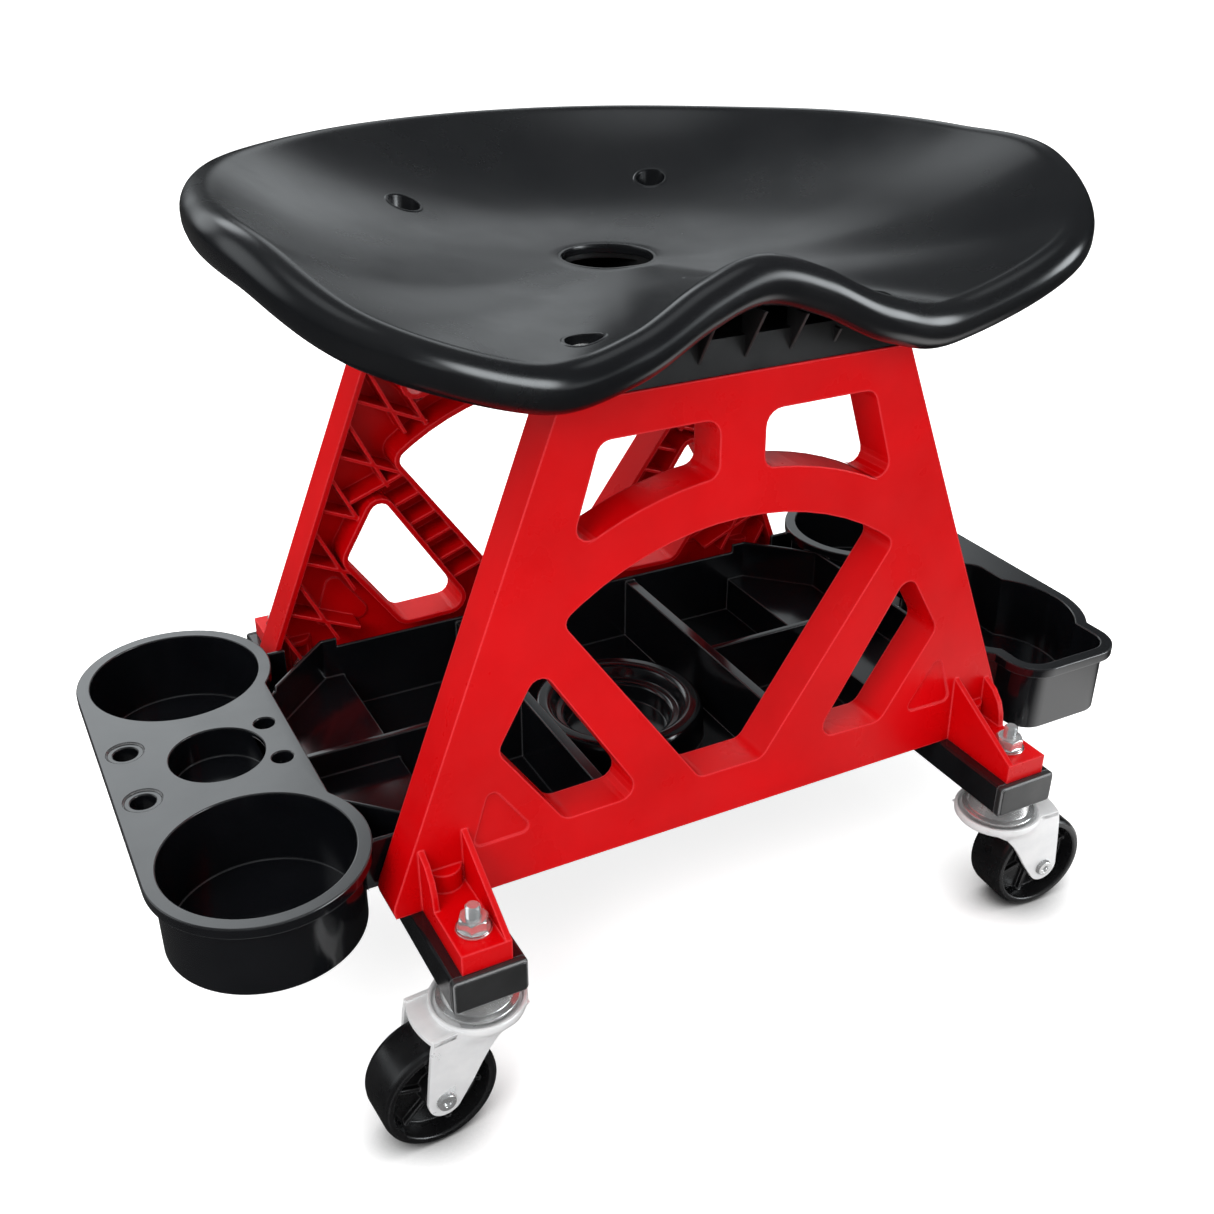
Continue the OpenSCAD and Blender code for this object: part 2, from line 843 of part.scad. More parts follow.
module tray_right() {
    t = tray_t;
    color(black)
        difference() {
            union() {
                translate([0, 0, side_z - 3])
                    linear_extrude(3)
                        bin_tray_shape(0);
                translate([0, 0, side_z - lip])
                    linear_extrude(lip - 1)
                        difference() {
                            bin_tray_shape(0);
                            bin_tray_shape(2.4);
                        }
                translate([0, 0, side_floor])
                    linear_extrude(side_z - side_floor - 1)
                        bin_shape(t);
                translate([back_cup_x, back_cup_y, side_floor])
                    cylinder(r = cup_r + t, h = side_z - side_floor - 1);
                for (s = [-1, 1])
                    scale([1, s, 1])
                        hook_ear(cup_x - 35);
            }
            translate([0, 0, side_floor + t])
                linear_extrude(60)
                    bin_shape(0);
            translate([back_cup_x, back_cup_y, side_floor + t])
                cylinder(r = cup_r, h = 60);
            translate([0, 0, tube_top - 20])
                linear_extrude(main_z + 0.4 - tube_top + 20)
                    main_shape(-0.4);
        }
}

// ---------- casters, drawn with the swivel axis on Z and the wheel toward +X ----------

ball_r = 2.4;
ball_ring = 14.5;
ball_z = 73;
stem_r = 4.95;
stem_top = 133;
axle_r = 3.5;
bush_r = 5;

// one caster's piece at corner sx, sy, swivelled by turn
module at_corner(sx, sy, turn) {
    translate([sx * tube_x, sy * stud_y, 0])
        rotate(turn)
            children();
}

// stud with its riveted head below the crown, the thread drawn as rings where it stands above the nut
module stem() {
    pitch = 1.25;
    threads = 5;
    z0 = stem_top - 1 - pitch * threads;
    color(zinc)
        rotate_extrude()
            polygon(concat(
                [[0, 63], [6, 63], [8, 64.5], [8, 68.95], [stem_r, 68.95], [stem_r, 80], [stud_r, 81]],
                [for (i = [0 : threads - 1]) each [
                    [stud_r, z0 + i * pitch],
                    [stud_r - 0.65, z0 + (i + 0.5) * pitch]
                ]],
                [[stud_r, stem_top - 1], [stud_r - 1, stem_top], [0, stem_top]]
            ));
}

// upper race, domed up to the underside of the tube
module race() {
    color(zinc)
        rotate_extrude()
            difference() {
                polygon([
                    [stem_r, 74], [20.5, 74], [21.5, 75], [21.5, 76.5], [18.5, 77.5], [16, tube_z - 0.02],
                    [stud_r, tube_z - 0.02],
                    [stud_r, 81], [stem_r, 80]
                ]);
                translate([ball_ring, ball_z])
                    circle(ball_r + 0.05);
            }
}

module balls() {
    count = 14;
    color(zinc)
        for (i = [0 : count - 1])
            rotate(i * 360 / count)
                translate([ball_ring, 0, ball_z - 0.05])
                    sphere(ball_r, $fn = 24);
}

// pressed fork: crown with the lower race, a turned-up lip and two ears
module fork() {
    ear_t = 2.5;
    color(zinc)
        difference() {
            union() {
                rotate_extrude()
                    polygon([
                        [stem_r + 0.05, 69], [crown_r - 2, 69], [crown_r, 71], [crown_r, 75],
                        [crown_r - 2.2, 75], [crown_r - 2.8, 72], [stem_r + 0.05, 72]
                    ]);
                difference() {
                    translate([crown_r - 6, -fork_y, 69])
                        cube([13, 2 * fork_y, 3]);
                    cylinder(r = crown_r - 2.5, h = 90);
                }
                for (s = [-1, 1])
                    scale([1, s, 1])
                        translate([0, fork_y, 0])
                            rotate([90, 0, 0])
                                linear_extrude(ear_t)
                                    ear_shape();
            }
            translate([0, 0, 72])
                cylinder(r = crown_r - 2.8, h = 20);
            rotate_extrude()
                translate([ball_ring, ball_z])
                    circle(ball_r + 0.05);
            translate([trail, 30, wheel_r])
                rotate([90, 0, 0])
                    cylinder(r = axle_r, h = 60);
        }
}

// side view of an ear
module ear_shape() {
    polygon([
        [-17, 72], [32.8, 72], [34.2, 66], [36.3, 48], [37.9, 33], [trail, wheel_r], [20.1, 27], [12.9, 37.6],
        [7.6, 46.8], [2.6, 54.3], [-4.6, 62.4], [-11.3, 67], [-17, 69]
    ]);
    translate([trail, wheel_r])
        circle(9.7);
}

// riveted axle with a head on each side
module axle() {
    color(zinc)
        translate([trail, fork_y + 2.4, wheel_r])
            rotate([90, 0, 0])
                difference() {
                    union() {
                        cylinder(r1 = 4.6, r2 = 5.8, h = 2.4);
                        cylinder(r = axle_r, h = 2 * fork_y + 4.8);
                        translate([0, 0, 2 * fork_y + 2.4])
                            cylinder(r1 = 5.8, r2 = 4.6, h = 2.4);
                    }
                    for (z = [-1, 2 * fork_y + 4.8 - 1.4])
                        translate([0, 0, z])
                            cylinder(r = 2.2, h = 2.4);
                }
}

// moulded wheel: rim, thin web with ribs and a hub
module wheel() {
    h = wheel_w / 2;
    color([0.06, 0.06, 0.07])
        translate([trail, 0, wheel_r])
            rotate([90, 0, 0]) {
                rotate_extrude()
                    polygon([
                        [bush_r, -h + 1], [9, -h + 1], [10, -4], [24.5, -4], [26.5, -h + 0.6], [27.4, -h],
                        [29.6, -h], [wheel_r - 0.6, -h + 1.5], [wheel_r, -h + 4], [wheel_r, h - 4],
                        [wheel_r - 0.6, h - 1.5], [29.6, h], [27.4, h], [26.5, h - 0.6], [24.5, 4], [10, 4],
                        [9, h - 1], [bush_r, h - 1]
                    ]);
                for (i = [0 : 5])
                    rotate(i * 60 + 18)
                        translate([8, -1.2, -7])
                            cube([17.8, 2.4, 14]);
            }
}

// steel bush in the hub
module bush() {
    length = 2 * (fork_y - 2.5) - 0.2;
    color(zinc)
        translate([trail, length / 2, wheel_r])
            rotate([90, 0, 0])
                difference() {
                    cylinder(r = bush_r, h = length);
                    translate([0, 0, -1])
                        cylinder(r = axle_r + 0.05, h = length + 2);
                }
}

seat();
seat_base();
seat_bolts();
panel_front();
panel_rear();
tube_left();
tube_right();
tube_caps();
panel_bolts();
caster_nuts();
main_tray();
tray_left();
tray_right();
at_corner(-1, -1, turn_fl) stem();  // stem_fl
at_corner(-1, -1, turn_fl) race();  // race_fl
at_corner(-1, -1, turn_fl) balls();  // balls_fl
at_corner(-1, -1, turn_fl) fork();  // fork_fl
at_corner(-1, -1, turn_fl) axle();  // axle_fl
at_corner(-1, -1, turn_fl) wheel();  // wheel_fl
at_corner(-1, -1, turn_fl) bush();  // bush_fl
at_corner(1, -1, turn_fr) stem();  // stem_fr
at_corner(1, -1, turn_fr) race();  // race_fr
at_corner(1, -1, turn_fr) balls();  // balls_fr
at_corner(1, -1, turn_fr) fork();  // fork_fr
at_corner(1, -1, turn_fr) axle();  // axle_fr
at_corner(1, -1, turn_fr) wheel();  // wheel_fr
at_corner(1, -1, turn_fr) bush();  // bush_fr
at_corner(-1, 1, turn_rl) stem();  // stem_rl
at_corner(-1, 1, turn_rl) race();  // race_rl
at_corner(-1, 1, turn_rl) balls();  // balls_rl
at_corner(-1, 1, turn_rl) fork();  // fork_rl
at_corner(-1, 1, turn_rl) axle();  // axle_rl
at_corner(-1, 1, turn_rl) wheel();  // wheel_rl
at_corner(-1, 1, turn_rl) bush();  // bush_rl
at_corner(1, 1, turn_rr) stem();  // stem_rr
at_corner(1, 1, turn_rr) race();  // race_rr
at_corner(1, 1, turn_rr) balls();  // balls_rr
at_corner(1, 1, turn_rr) fork();  // fork_rr
at_corner(1, 1, turn_rr) axle();  // axle_rr
at_corner(1, 1, turn_rr) wheel();  // wheel_rr
at_corner(1, 1, turn_rr) bush();  // bush_rr
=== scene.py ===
"""Looks of the rolling tractor-seat stool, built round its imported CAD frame: metres, in the frame's own axes."""
import json
import math

import bmesh
import bpy
from mathutils import Matrix, Vector


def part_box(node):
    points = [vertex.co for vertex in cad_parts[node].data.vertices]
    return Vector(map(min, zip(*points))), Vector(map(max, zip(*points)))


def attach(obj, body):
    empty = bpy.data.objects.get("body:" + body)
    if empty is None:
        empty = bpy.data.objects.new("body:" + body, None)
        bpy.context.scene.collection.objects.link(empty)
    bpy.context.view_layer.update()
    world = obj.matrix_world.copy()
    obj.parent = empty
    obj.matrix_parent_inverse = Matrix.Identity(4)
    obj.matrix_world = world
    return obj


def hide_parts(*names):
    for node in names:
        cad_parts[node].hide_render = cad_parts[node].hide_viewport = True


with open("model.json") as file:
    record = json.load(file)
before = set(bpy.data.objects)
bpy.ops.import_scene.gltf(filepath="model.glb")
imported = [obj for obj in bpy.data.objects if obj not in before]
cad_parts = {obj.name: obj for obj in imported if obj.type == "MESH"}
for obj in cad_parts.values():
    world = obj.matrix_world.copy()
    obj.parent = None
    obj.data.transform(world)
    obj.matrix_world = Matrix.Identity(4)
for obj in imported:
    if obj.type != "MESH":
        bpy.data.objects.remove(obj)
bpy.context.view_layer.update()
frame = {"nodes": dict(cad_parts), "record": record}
NODES = frame["nodes"]
CORNERS = ("fl", "fr", "rl", "rr")
MM = 0.001


# ---------- materials ----------

class Mat:
    """A node material built up step by step around one Principled shader."""

    def __init__(self, name):
        self.mat = bpy.data.materials.new(name)
        self.mat.use_nodes = True
        self.tree = self.mat.node_tree
        self.bsdf = self.tree.nodes["Principled BSDF"]
        self.coords = self.add("ShaderNodeTexCoord")
        self.rounding = 0

    def add(self, kind, **values):
        node = self.tree.nodes.new(kind)
        for key, value in values.items():
            if hasattr(node, key):
                setattr(node, key, value)
            else:
                node.inputs[key].default_value = value
        return node

    def link(self, a, b):
        self.tree.links.new(a, b)

    def noise(self, scale, detail=4.0, roughness=0.55, stretch=(1, 1, 1)):
        mapping = self.add("ShaderNodeMapping")
        mapping.inputs["Scale"].default_value = stretch
        self.link(self.coords.outputs["Object"], mapping.inputs["Vector"])
        node = self.add("ShaderNodeTexNoise")
        node.inputs["Scale"].default_value = scale
        node.inputs["Detail"].default_value = detail
        node.inputs["Roughness"].default_value = roughness
        self.link(mapping.outputs["Vector"], node.inputs["Vector"])
        return node.outputs["Fac"]

    def map(self, source, low, high, from_low=0.3, from_high=0.7):
        node = self.add("ShaderNodeMapRange")
        node.inputs["From Min"].default_value = from_low
        node.inputs["From Max"].default_value = from_high
        node.inputs["To Min"].default_value = low
        node.inputs["To Max"].default_value = high
        self.link(source, node.inputs["Value"])
        return node.outputs["Result"]

    def bump(self, layers):
        """layers: (height output, strength, distance) from coarse to fine, over softened edges if rounding is set."""
        previous = None
        if self.rounding:
            bevel = self.add("ShaderNodeBevel", samples=4)
            bevel.inputs["Radius"].default_value = self.rounding
            previous = bevel.outputs["Normal"]
        for height, strength, distance in layers:
            node = self.add("ShaderNodeBump")
            node.inputs["Strength"].default_value = strength
            node.inputs["Distance"].default_value = distance
            self.link(height, node.inputs["Height"])
            if previous:
                self.link(previous, node.inputs["Normal"])
            previous = node.outputs["Normal"]
        self.link(previous, self.bsdf.inputs["Normal"])

    def edge(self, radius):
        """0 on flats, rising to 1 on edges sharper than the radius."""
        bevel = self.add("ShaderNodeBevel", samples=4)
        bevel.inputs["Radius"].default_value = radius
        geometry = self.add("ShaderNodeNewGeometry")
        dot = self.add("ShaderNodeVectorMath", operation="DOT_PRODUCT")
        self.link(bevel.outputs["Normal"], dot.inputs[0])
        self.link(geometry.outputs["Normal"], dot.inputs[1])
        return self.map(dot.outputs["Value"], 1.0, 0.0, 0.86, 0.995)

    def mix(self, factor, a, b):
        node = self.add("ShaderNodeMix", data_type="RGBA")
        for value, socket in ((factor, node.inputs["Factor"]), (a, node.inputs[6]), (b, node.inputs[7])):
            if isinstance(value, bpy.types.NodeSocket):
                self.link(value, socket)
            elif socket.type == "RGBA":
                socket.default_value = (*value, 1)
            else:
                socket.default_value = value
        return node.outputs[2]

    def set(self, **values):
        for key, value in values.items():
            socket = self.bsdf.inputs[key.replace("_", " ")]
            if isinstance(value, bpy.types.NodeSocket):
                self.link(value, socket)
            else:
                socket.default_value = (*value, 1) if isinstance(value, tuple) else value
        return self


def moulded(name, dark, light, rough, shine=0.5, mottle=14.0, grain=900.0, grain_depth=0.00003, wave=0.0004,
            edge_highlight=None, edge=0.001, soften=False):
    """Injection-moulded plastic: faint mottling, flow waviness, fine skin, and a painted highlight that makes sharp
    edges paler.
    """
    m = Mat(name)
    m.rounding = edge if soften else 0
    blotch = m.noise(mottle, 5, 0.6)
    colour = m.mix(m.map(blotch, 0, 1, 0.35, 0.68), dark, light)
    # painted highlight: sharp edges take a paler colour, standing in for light caught by their rounding
    if edge_highlight:
        colour = m.mix(m.edge(edge), colour, edge_highlight)
    m.set(Base_Color=colour, Roughness=m.map(m.noise(mottle * 2.2, 4), rough * 0.82, rough * 1.22),
          Specular_IOR_Level=shine)
    m.bump([(m.noise(mottle * 0.8, 2, 0.4), 0.35, wave), (m.noise(grain, 2), 0.2, grain_depth)])
    return m.mat


def plated(name, dark, light, rough, mottle=60.0, metallic=0.92, dents=0.2):
    """Bright zinc: uneven passivation, fine drawing marks and small dents."""
    m = Mat(name)
    blotch = m.noise(mottle, 6, 0.65)
    fine = m.noise(mottle * 9, 3, 0.6, (1, 1, 4))
    m.set(Base_Color=m.mix(m.map(blotch, 0, 1), dark, light), Metallic=metallic,
          Roughness=m.map(blotch, rough * 0.75, rough * 1.4))
    m.bump([(blotch, dents, 0.0003), (fine, dents / 2, 0.00006)])
    return m.mat


# moulded: name, dark and light colour, roughness, shine, mottling, skin grain and its depth, waviness,
# painted edge highlight colour and edge radius, softened edges; plated: name, two colours, roughness, mottling,
# metallic, dents
MATERIALS = {
    "seat_plastic": moulded("seat_plastic", (0.0035, 0.004, 0.005), (0.0075, 0.008, 0.009), 0.24, 0.5, 9.0,
                            500.0, 0.00001, 0.0005),
    "base_plastic": moulded("base_plastic", (0.006, 0.006, 0.0065), (0.012, 0.012, 0.0125), 0.5, 0.5, 30.0),
    "red_plastic": moulded("red_plastic", (0.58, 0.0006, 0.002), (0.68, 0.0009, 0.003), 0.3, 0.16, 14.0,
                           800.0, 0.00001, 0.00008, (0.95, 0.06, 0.07), 0.0016, True),
    "tube_paint": moulded("tube_paint", (0.004, 0.0042, 0.005), (0.008, 0.0085, 0.0095), 0.2, 0.6, 40.0,
                          900.0, 0.00002, 0.0003, (0.2, 0.2, 0.205), 0.0007),
    "cap_plastic": moulded("cap_plastic", (0.017, 0.0175, 0.018), (0.027, 0.0275, 0.028), 0.36, 0.6, 50.0,
                           900.0, 0.00003, 0.0003, (0.3, 0.305, 0.31), 0.0005),
    "tray_plastic": moulded("tray_plastic", (0.0025, 0.003, 0.004), (0.0055, 0.006, 0.0075), 0.15, 0.75, 12.0,
                            900.0, 0.00001, 0.0002, (0.24, 0.245, 0.25), 0.0009),
    "zinc": plated("zinc", (0.72, 0.73, 0.74), (0.92, 0.92, 0.91), 0.2, 90.0, 0.8, 0.06),
    "zinc_fork": plated("zinc_fork", (0.78, 0.79, 0.8), (0.94, 0.94, 0.94), 0.32, 34.0, 0.22, 0.1),
    "ball_steel": plated("ball_steel", (0.55, 0.55, 0.56), (0.7, 0.7, 0.71), 0.18, 200.0),
    "wheel_plastic": moulded("wheel_plastic", (0.004, 0.004, 0.0045), (0.009, 0.009, 0.0095), 0.28, 0.5, 45.0,
                             1200.0, 0.00003, 0.0003, (0.14, 0.14, 0.143), 0.0009),
}
SLOT_OF = {s["node"]: s["material_slot"] for s in frame["record"]["subparts"]}


def dress(obj, slot):
    """Gives an object the one material of its slot."""
    obj.data.materials.clear()
    obj.data.materials.append(MATERIALS[slot])


# ---------- CAD nodes shown with eased edges ----------

FLAT_ANGLE = math.radians(0.6)
EDGE_ANGLE = math.radians(28)


def ease(node, width, segments):
    """Rounds the sharp edges of a CAD node with modifiers, leaving its mesh as it is."""
    obj = NODES[node]
    obj.data.polygons.foreach_set("use_smooth", [True] * len(obj.data.polygons))
    obj.modifiers.new("weld", "WELD").merge_threshold = 0.00001
    flat = obj.modifiers.new("flat", "DECIMATE")
    flat.decimate_type = "DISSOLVE"
    flat.angle_limit = FLAT_ANGLE
    bevel = obj.modifiers.new("bevel", "BEVEL")
    bevel.width = width
    bevel.segments = segments
    bevel.limit_method = "ANGLE"
    bevel.angle_limit = EDGE_ANGLE
    bevel.use_clamp_overlap = False
    bevel.miter_outer = "MITER_ARC"
    bevel.harden_normals = False
    normals = obj.modifiers.new("normals", "WEIGHTED_NORMAL")
    normals.keep_sharp = True
    normals.weight = 60


# width of the rounded edge in metres and its segments; none for pieces kept as tessellated
EASED = {
    "seat_base": (0.0004, 2), "seat_bolts": (0.0004, 2), "panel_front": (0, 0), "panel_rear": (0, 0),
    "tube_left": (0.0003, 2), "tube_right": (0.0003, 2), "tube_caps": (0.0008, 3), "panel_bolts": (0.0004, 2),
    "caster_nuts": (0.0004, 2), "main_tray": (0.0008, 3), "tray_left": (0.0008, 3), "tray_right": (0.0008, 3),
    "stem": (0, 0), "race": (0.0004, 2), "balls": (0, 0), "axle": (0.0003, 2),
    "wheel": (0.0004, 2), "bush": (0.0002, 2),
}
for name in NODES:
    key = name if name in EASED else name[:-3]
    if key in EASED:
        width, segments = EASED[key]
        if segments:
            ease(name, width, segments)
        dress(NODES[name], SLOT_OF[name])


# ---------- seat ----------

SEAT_CENTRE = 18 * MM
# centre line of the rolled edge: degrees from the front, radius and height in mm
RIM = [(0, 153.2, 410), (12, 158.8, 401), (24, 173.4, 383.5), (36, 193.4, 376.4), (50, 243, 404.8), (66, 240.8, 431),
       (84, 221.7, 432.5), (105, 207, 431), (130, 198.5, 426.8), (155, 191.5, 425.6), (180, 187.1, 425.6)]
PAN_Z = 385 * MM
ROLL = 11 * MM
WALL = 4.5 * MM
HOLE_R = 25.5 * MM
# the pan rises from the hole with this power of the distance
POWER = 2.6


def rim_value(a, k):
    """Column k of the RIM table at angle a, in metres, through smooth cubic pieces."""
    a = abs(a)
    i = max(j for j in range(len(RIM) - 1) if RIM[j][0] <= a)

    def slope(j):
        if j in (0, len(RIM) - 1):
            return 0
        return (RIM[j + 1][k] - RIM[j - 1][k]) / (RIM[j + 1][0] - RIM[j - 1][0])
    h = RIM[i + 1][0] - RIM[i][0]
    t = (a - RIM[i][0]) / h
    return ((2 * t**3 - 3 * t**2 + 1) * RIM[i][k] + (t**3 - 2 * t**2 + t) * slope(i) * h
            + (3 * t**2 - 2 * t**3) * RIM[i + 1][k] + (t**3 - t**2) * slope(i + 1) * h) * MM


def rim_point(a):
    """Point of the rolled edge's centre line at angle a."""
    a = (a + 180) % 360 - 180
    r = rim_value(a, 1)
    return Vector((r * math.sin(math.radians(a)), SEAT_CENTRE - r * math.cos(math.radians(a)), rim_value(a, 2)))


def rim_out(a):
    """Level direction pointing out of the rim at angle a."""
    d = rim_point(a + 0.5) - rim_point(a - 0.5)
    return Vector((d.y, -d.x, 0)).normalized()


def seat_section(a, steps):
    """Closed section of the seat shell at angle a: hole lip, pan, roll, return and underside."""
    p, out = rim_point(a), rim_out(a)
    reach = math.hypot(p.x, p.y - SEAT_CENTRE)
    tilt = math.atan(POWER * (p.z + ROLL - PAN_Z) / reach)

    def roll(b, r):
        return p + out * r * math.cos(b) + Vector((0, 0, r * math.sin(b) - (0.002 if b < 0 else 0)))
    q = roll(math.pi / 2 + tilt, ROLL)
    span = math.hypot(q.x, q.y - SEAT_CENTRE)

    def pan(s, drop):
        return Vector((q.x * s, SEAT_CENTRE + (q.y - SEAT_CENTRE) * s, PAN_Z + (q.z - PAN_Z) * s**POWER - drop))
    s0 = HOLE_R / span
    points = [pan(s0, WALL), pan(s0, WALL / 2), pan(s0, 0.0004), pan(s0 + 0.0003 / span, -0.0002),
              pan(s0 + 0.0012 / span, -0.0005), pan(s0 + 0.0022 / span, -0.0002), pan(s0 + 0.003 / span, 0)]
    s1 = s0 + 0.003 / span
    points += [pan(s1 + (1 - s1) * (1 - (1 - i / steps)**1.25), 0) for i in range(1, steps)]
    top = math.pi / 2 + tilt
    bottom = math.radians(-68)
    points += [roll(top + (bottom - top) * i / 22, ROLL) for i in range(23)]
    points += [roll(bottom + (top - bottom) * i / 10, ROLL - WALL) for i in range(11)]
    points += [pan(1 + (s0 - 1) * i / 14, WALL) for i in range(1, 14)]
    return points


def grid_object(name, sections, close_v=True):
    """Mesh through a closed row of sections, each closed too unless close_v is off."""
    mesh = bpy.data.meshes.new(name)
    n, m = len(sections), len(sections[0])
    faces = []
    for i in range(n):
        for j in range(m if close_v else m - 1):
            i2, j2 = (i + 1) % n, (j + 1) % m
            faces.append((i * m + j, i * m + j2, i2 * m + j2, i2 * m + j))
    mesh.from_pydata([p for s in sections for p in s], [], faces)
    mesh.update()
    obj = bpy.data.objects.new(name, mesh)
    bpy.context.scene.collection.objects.link(obj)
    return obj


def outward(obj):
    """Turns all faces to point out."""
    bm = bmesh.new()
    bm.from_mesh(obj.data)
    bmesh.ops.recalc_face_normals(bm, faces=bm.faces)
    bm.to_mesh(obj.data)
    bm.free()


def smooth(obj, angle):
    """Smooth shading, broken at edges sharper than the angle in degrees."""
    obj.data.polygons.foreach_set("use_smooth", [True] * len(obj.data.polygons))
    obj.data.set_sharp_from_angle(angle=math.radians(angle))


def bake(obj):
    """Applies the object's modifiers."""
    depsgraph = bpy.context.evaluated_depsgraph_get()
    mesh = bpy.data.meshes.new_from_object(obj.evaluated_get(depsgraph))
    obj.modifiers.clear()
    obj.data = mesh


def lathe(name, centre, profile, height=None, count=72):
    """Surface of revolution about a vertical axis; height(x, y) may raise each point to a surface."""
    sections = []
    for i in range(count):
        a = 2 * math.pi * i / count
        ring = []
        for r, z in profile:
            x, y = centre[0] + r * math.cos(a), centre[1] + r * math.sin(a)
            ring.append(Vector((x, y, z if z > 0.1 or height is None else height(x, y) + z)))
        sections.append(ring)
    return grid_object(name, sections, False)


def seat_height(x, y):
    """Height of the pan at x, y."""
    a = math.degrees(math.atan2(x, SEAT_CENTRE - y))
    for _ in range(4):
        p, out = rim_point(a), rim_out(a)
        reach = math.hypot(p.x, p.y - SEAT_CENTRE)
        tilt = math.atan(POWER * (p.z + ROLL - PAN_Z) / reach)
        q = p - out * ROLL * math.sin(tilt)
        a += math.degrees(math.atan2(x, SEAT_CENTRE - y)) - math.degrees(math.atan2(q.x, SEAT_CENTRE - q.y))
    s = math.hypot(x, y - SEAT_CENTRE) / math.hypot(q.x, q.y - SEAT_CENTRE)
    return PAN_Z + (p.z + ROLL * math.cos(tilt) - PAN_Z) * s**POWER


def fit_to_box(objs, node):
    """Maps the objects linearly so that the first one fills a CAD node's box."""
    points = [v.co for v in objs[0].data.vertices]
    low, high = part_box(node)
    scale, shift = [], []
    for axis in range(3):
        a, b = min(p[axis] for p in points), max(p[axis] for p in points)
        scale.append((high[axis] - low[axis]) / (b - a))
        shift.append(low[axis] - a * scale[axis])
    matrix = Matrix.Translation(shift) @ Matrix.Diagonal((*scale, 1))
    for obj in objs:
        obj.data.transform(matrix)


# section of a bolt recess: radius, and height above the floor or, under 0.1 m, above the pan;
# raised mouth, bore, recess floor, bolt hole, outer wall
RECESS = [(11.2 * MM, -0.0001), (10.6 * MM, 0.0003), (9.9 * MM, 0.0005), (9.2 * MM, 0.0003), (8.9 * MM, -0.0006),
          (8.8 * MM, 0.3795), (8.3 * MM, 0.379), (4.4 * MM, 0.379), (4.4 * MM, 0.3762), (11.6 * MM, 0.3762),
          (12 * MM, 0.3768), (12 * MM, -0.0045)]


def build_seat():
    """Rolled shell with four bolt recesses, filling the box of the CAD seat."""
    turns, pan_steps = 320, 40
    seat = grid_object("seat_shell", [seat_section(360 * i / turns, pan_steps) for i in range(turns)])
    outward(seat)
    cutters = []
    low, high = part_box("seat_bolts")
    recess_r = 9 * MM
    nut_corner, head_r = 7.5 * MM, 7 * MM
    bolts = [(x, y) for x in (low.x + nut_corner, high.x - nut_corner) for y in (low.y + head_r, high.y - head_r)]
    for x, y in bolts:
        cutter = lathe("cut", (x, y), [(0.00001, 0.36), (recess_r, 0.36), (recess_r, 0.45), (0.00001, 0.45)])
        outward(cutter)
        cutters.append(cutter)
        mod = seat.modifiers.new("hole", "BOOLEAN")
        mod.operation = "DIFFERENCE"
        mod.solver = "EXACT"
        mod.object = cutter
    bake(seat)
    for cutter in cutters:
        bpy.data.objects.remove(cutter)
    smooth(seat, 40)
    pieces = [seat]
    for i, (x, y) in enumerate(bolts):
        boss = lathe("seat_recess_%d" % i, (x, y), RECESS, seat_height)
        outward(boss)
        smooth(boss, 50)
        pieces.append(boss)
    fit_to_box(pieces, "seat")
    for piece in pieces:
        dress(piece, "seat_plastic")
        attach(piece, "frame")
        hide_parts("seat")


build_seat()


# ---------- forks: sizes in mm ----------

JOINTS = {j["name"]: j for j in frame["record"]["behaviour"]["joints"]}
# front and rear edges of an ear: height above the floor, forward of the swivel axis
EAR_FRONT = [(73.4, -20.7), (68, -11.3), (62.4, -4.6), (54.3, 2.6), (46.8, 7.6), (37.6, 12.9), (26.4, 20.5)]
EAR_REAR = [(73.4, 32.6), (66, 34.2), (48, 36.3), (31.7, 37.9)]
EAR_Y = 17.6
EAR_T = 2.5
AXLE = (28.3, 31.7)
AXLE_R = 9.5
CROWN_R = 25.4
# section of the crown: radius and height
CROWN = [(5.1, 69), (22.8, 69), (24.4, 69.5), (25.3, 70.7), (25.5, 72), (25.4, 74.1), (25, 74.8), (24.3, 75),
         (23.6, 74.7), (23.1, 73.8), (22.8, 72.4), (22.3, 72), (5.1, 72)]


def along(table, z):
    """Edge of an ear at height z: the table above, the round end about the axle below."""
    for (z1, x1), (z0, x0) in zip(table, table[1:]):
        if z >= z0:
            return x0 + (x1 - x0) * (z - z0) / (z1 - z0)
    return AXLE[0] + (1 if table is EAR_REAR else -1) * math.sqrt(max(0, AXLE_R**2 - (z - AXLE[1])**2))


def ear_skin(x, z):
    """Distance from the fork's middle plane to the outside of an ear: it flares out to the crown at the top."""
    rise = min(1, max(0, (z - 60) / 12.5))
    side = math.sqrt(max(EAR_Y**2, CROWN_R**2 - x * x))
    return EAR_Y + (side - EAR_Y) * rise * rise * (3 - 2 * rise)


def joined(name, parts):
    """One object from lists of points and faces."""
    mesh = bpy.data.meshes.new(name)
    points, faces = [], []
    for p, f in parts:
        faces += [[i + len(points) for i in face] for face in f]
        points += [[c * MM for c in v] for v in p]
    mesh.from_pydata(points, [], faces)
    mesh.update()
    obj = bpy.data.objects.new(name, mesh)
    bpy.context.scene.collection.objects.link(obj)
    outward(obj)
    return obj


